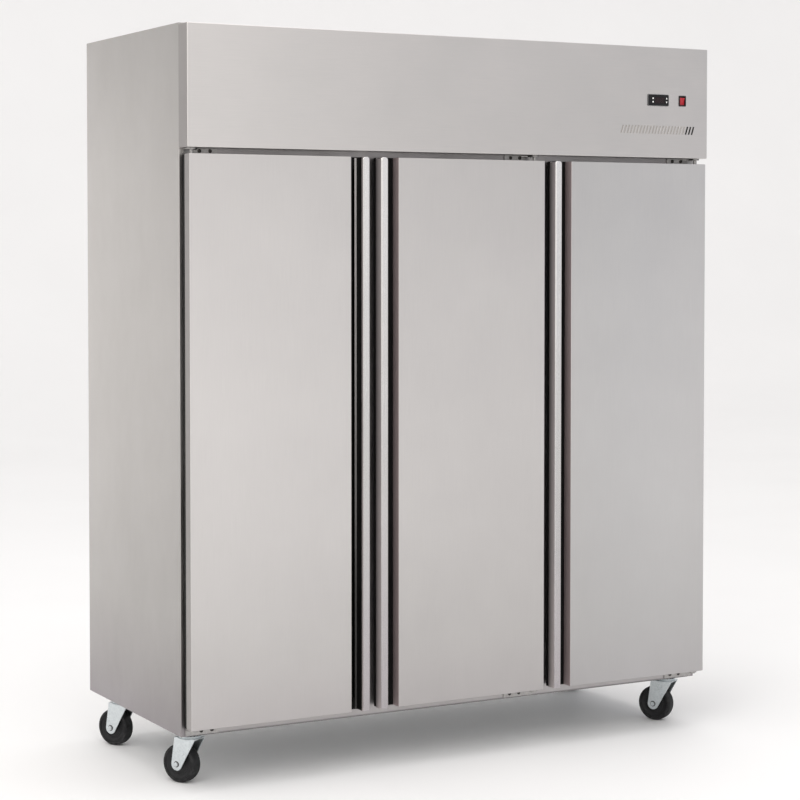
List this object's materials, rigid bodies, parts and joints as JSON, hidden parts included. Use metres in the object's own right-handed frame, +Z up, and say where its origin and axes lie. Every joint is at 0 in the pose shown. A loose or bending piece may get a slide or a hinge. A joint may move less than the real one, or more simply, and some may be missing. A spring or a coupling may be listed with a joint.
{
  "type": "reach-in refrigerator",
  "caption": "Wide upright stainless commercial refrigerator with full-height hinged doors, grooved pull bars, a top-mounted cooling unit behind a header, and swivel casters.",
  "frame": {"origin": "centre of the footprint, on the floor under the casters", "axes": "+Z up, doors face -Y, +X to the right of a person who faces the doors"},
  "size_m": [1.64, 0.728, 1.99],
  "materials": {
    "cabinet_steel": "satin",
    "door_steel": "satin",
    "pull_bar_steel": "satin",
    "galvanised_steel": "satin",
    "insulation_foam": "matte",
    "liner_steel": "satin",
    "black_plastic": "satin",
    "controller_plastic": "gloss",
    "key_plastic": "satin",
    "switch_plastic": "gloss",
    "rocker_red": "gloss",
    "compressor_paint": "gloss",
    "condenser_fins": "satin",
    "fan_plastic": "satin",
    "copper_tube": "satin",
    "box_paint": "satin",
    "evaporator_fins": "satin",
    "shelf_wire": "satin",
    "hinge_steel": "satin",
    "gasket_rubber": "matte",
    "caster_zinc": "satin",
    "caster_rubber": "matte"
  },
  "bodies": {
    "cabinet": {"side_panel_left": "cabinet_steel", "side_panel_right": "cabinet_steel", "back_panel": "cabinet_steel", "base_panel": "galvanised_steel", "roof_panel": "galvanised_steel", "cabinet_insulation": "insulation_foam", "inner_liner": "liner_steel", "face_frame": "cabinet_steel", "mullions": "cabinet_steel", "header_panel": "door_steel", "controller": "controller_plastic", "switch_housing": "switch_plastic", "unit_base": "galvanised_steel", "compressor": "compressor_paint", "condenser": "condenser_fins", "refrigerant_pipes": "copper_tube", "electrical_box": "box_paint", "evaporator_coil": "evaporator_fins", "evaporator_housing": "liner_steel", "shelf_rails": "liner_steel", "shelves_left": "shelf_wire", "shelves_middle": "shelf_wire", "shelves_right": "shelf_wire", "hinge_brackets_top": "hinge_steel", "hinge_brackets_bottom": "hinge_steel", "caster_plates": "caster_zinc"},
    "door_left": {"door_skin_left": "door_steel", "door_core_left": "insulation_foam", "door_frame_left": "black_plastic", "door_liner_left": "liner_steel", "door_gasket_left": "gasket_rubber", "door_handle_left": "pull_bar_steel"},
    "door_middle": {"door_skin_middle": "door_steel", "door_core_middle": "insulation_foam", "door_frame_middle": "black_plastic", "door_liner_middle": "liner_steel", "door_gasket_middle": "gasket_rubber", "door_handle_middle": "pull_bar_steel"},
    "door_right": {"door_skin_right": "door_steel", "door_core_right": "insulation_foam", "door_frame_right": "black_plastic", "door_liner_right": "liner_steel", "door_gasket_right": "gasket_rubber", "door_handle_right": "pull_bar_steel"},
    "caster_front_left": {"caster_fork_front_left": "caster_zinc"},
    "wheel_front_left": {"caster_wheel_front_left": "caster_rubber"},
    "caster_front_right": {"caster_fork_front_right": "caster_zinc"},
    "wheel_front_right": {"caster_wheel_front_right": "caster_rubber"},
    "caster_rear_left": {"caster_fork_rear_left": "caster_zinc"},
    "wheel_rear_left": {"caster_wheel_rear_left": "caster_rubber"},
    "caster_rear_right": {"caster_fork_rear_right": "caster_zinc"},
    "wheel_rear_right": {"caster_wheel_rear_right": "caster_rubber"},
    "button_set": {"key_set": "key_plastic"},
    "button_defrost": {"key_defrost": "key_plastic"},
    "button_up": {"key_up": "key_plastic"},
    "button_down": {"key_down": "key_plastic"},
    "rocker": {"switch_rocker": "rocker_red"},
    "condenser_rotor": {"condenser_fan": "fan_plastic"},
    "evaporator_rotor_left": {"evaporator_fan_left": "fan_plastic"},
    "evaporator_rotor_right": {"evaporator_fan_right": "fan_plastic"}
  },
  "joints": [
    {"name": "door_left_hinge", "type": "hinge", "parent": "cabinet", "child": "door_left", "pos_m": [-0.797, -0.334, 0.9], "axis": [0, 0, -1], "range_deg": [0, 110], "stiffness_Nm_per_rad": 3, "springref_deg": -17.19},
    {"name": "door_middle_hinge", "type": "hinge", "parent": "cabinet", "child": "door_middle", "pos_m": [0.2425, -0.334, 0.9], "axis": [0, 0, 1], "range_deg": [0, 110], "stiffness_Nm_per_rad": 3, "springref_deg": -17.19},
    {"name": "door_right_hinge", "type": "hinge", "parent": "cabinet", "child": "door_right", "pos_m": [0.797, -0.334, 0.9], "axis": [0, 0, 1], "range_deg": [0, 110], "stiffness_Nm_per_rad": 3, "springref_deg": -17.19},
    {"name": "caster_front_left_swivel", "type": "hinge", "parent": "cabinet", "child": "caster_front_left", "pos_m": [-0.766, -0.24, 0.125], "axis": [0, 0, 1], "continuous": true},
    {"name": "wheel_front_left_spin", "type": "hinge", "parent": "caster_front_left", "child": "wheel_front_left", "pos_m": [-0.78, -0.21575, 0.051], "axis": [0.866, 0.5, 0], "continuous": true},
    {"name": "caster_front_right_swivel", "type": "hinge", "parent": "cabinet", "child": "caster_front_right", "pos_m": [0.766, -0.24, 0.125], "axis": [0, 0, 1], "continuous": true},
    {"name": "wheel_front_right_spin", "type": "hinge", "parent": "caster_front_right", "child": "wheel_front_right", "pos_m": [0.752, -0.21575, 0.051], "axis": [0.866, 0.5, 0], "continuous": true},
    {"name": "caster_rear_left_swivel", "type": "hinge", "parent": "cabinet", "child": "caster_rear_left", "pos_m": [-0.766, 0.239, 0.125], "axis": [0, 0, 1], "continuous": true},
    {"name": "wheel_rear_left_spin", "type": "hinge", "parent": "caster_rear_left", "child": "wheel_rear_left", "pos_m": [-0.78, 0.26325, 0.051], "axis": [0.866, 0.5, 0], "continuous": true},
    {"name": "caster_rear_right_swivel", "type": "hinge", "parent": "cabinet", "child": "caster_rear_right", "pos_m": [0.766, 0.239, 0.125], "axis": [0, 0, 1], "continuous": true},
    {"name": "wheel_rear_right_spin", "type": "hinge", "parent": "caster_rear_right", "child": "wheel_rear_right", "pos_m": [0.752, 0.26325, 0.051], "axis": [0.866, 0.5, 0], "continuous": true},
    {"name": "button_set_press", "type": "slide", "parent": "cabinet", "child": "button_set", "axis": [0, 1, 0], "range_m": [0, 0.001], "stiffness_N_per_m": 400, "springref_m": -0.0005},
    {"name": "button_defrost_press", "type": "slide", "parent": "cabinet", "child": "button_defrost", "axis": [0, 1, 0], "range_m": [0, 0.001], "stiffness_N_per_m": 400, "springref_m": -0.0005},
    {"name": "button_up_press", "type": "slide", "parent": "cabinet", "child": "button_up", "axis": [0, 1, 0], "range_m": [0, 0.001], "stiffness_N_per_m": 400, "springref_m": -0.0005},
    {"name": "button_down_press", "type": "slide", "parent": "cabinet", "child": "button_down", "axis": [0, 1, 0], "range_m": [0, 0.001], "stiffness_N_per_m": 400, "springref_m": -0.0005},
    {"name": "rocker_tip", "type": "hinge", "parent": "cabinet", "child": "rocker", "pos_m": [0.7305, -0.354, 1.834], "axis": [1, 0, 0], "range_deg": [-18, 0]},
    {"name": "condenser_fan_spin", "type": "hinge", "parent": "cabinet", "child": "condenser_rotor", "pos_m": [0.17, -0.136, 1.791], "axis": [0, 1, 0], "continuous": true},
    {"name": "evaporator_fan_left_spin", "type": "hinge", "parent": "cabinet", "child": "evaporator_rotor_left", "pos_m": [-0.17, 0.061, 1.535], "axis": [0, 1, 0], "continuous": true},
    {"name": "evaporator_fan_right_spin", "type": "hinge", "parent": "cabinet", "child": "evaporator_rotor_right", "pos_m": [0.17, 0.061, 1.535], "axis": [0, 1, 0], "continuous": true}
  ]
}
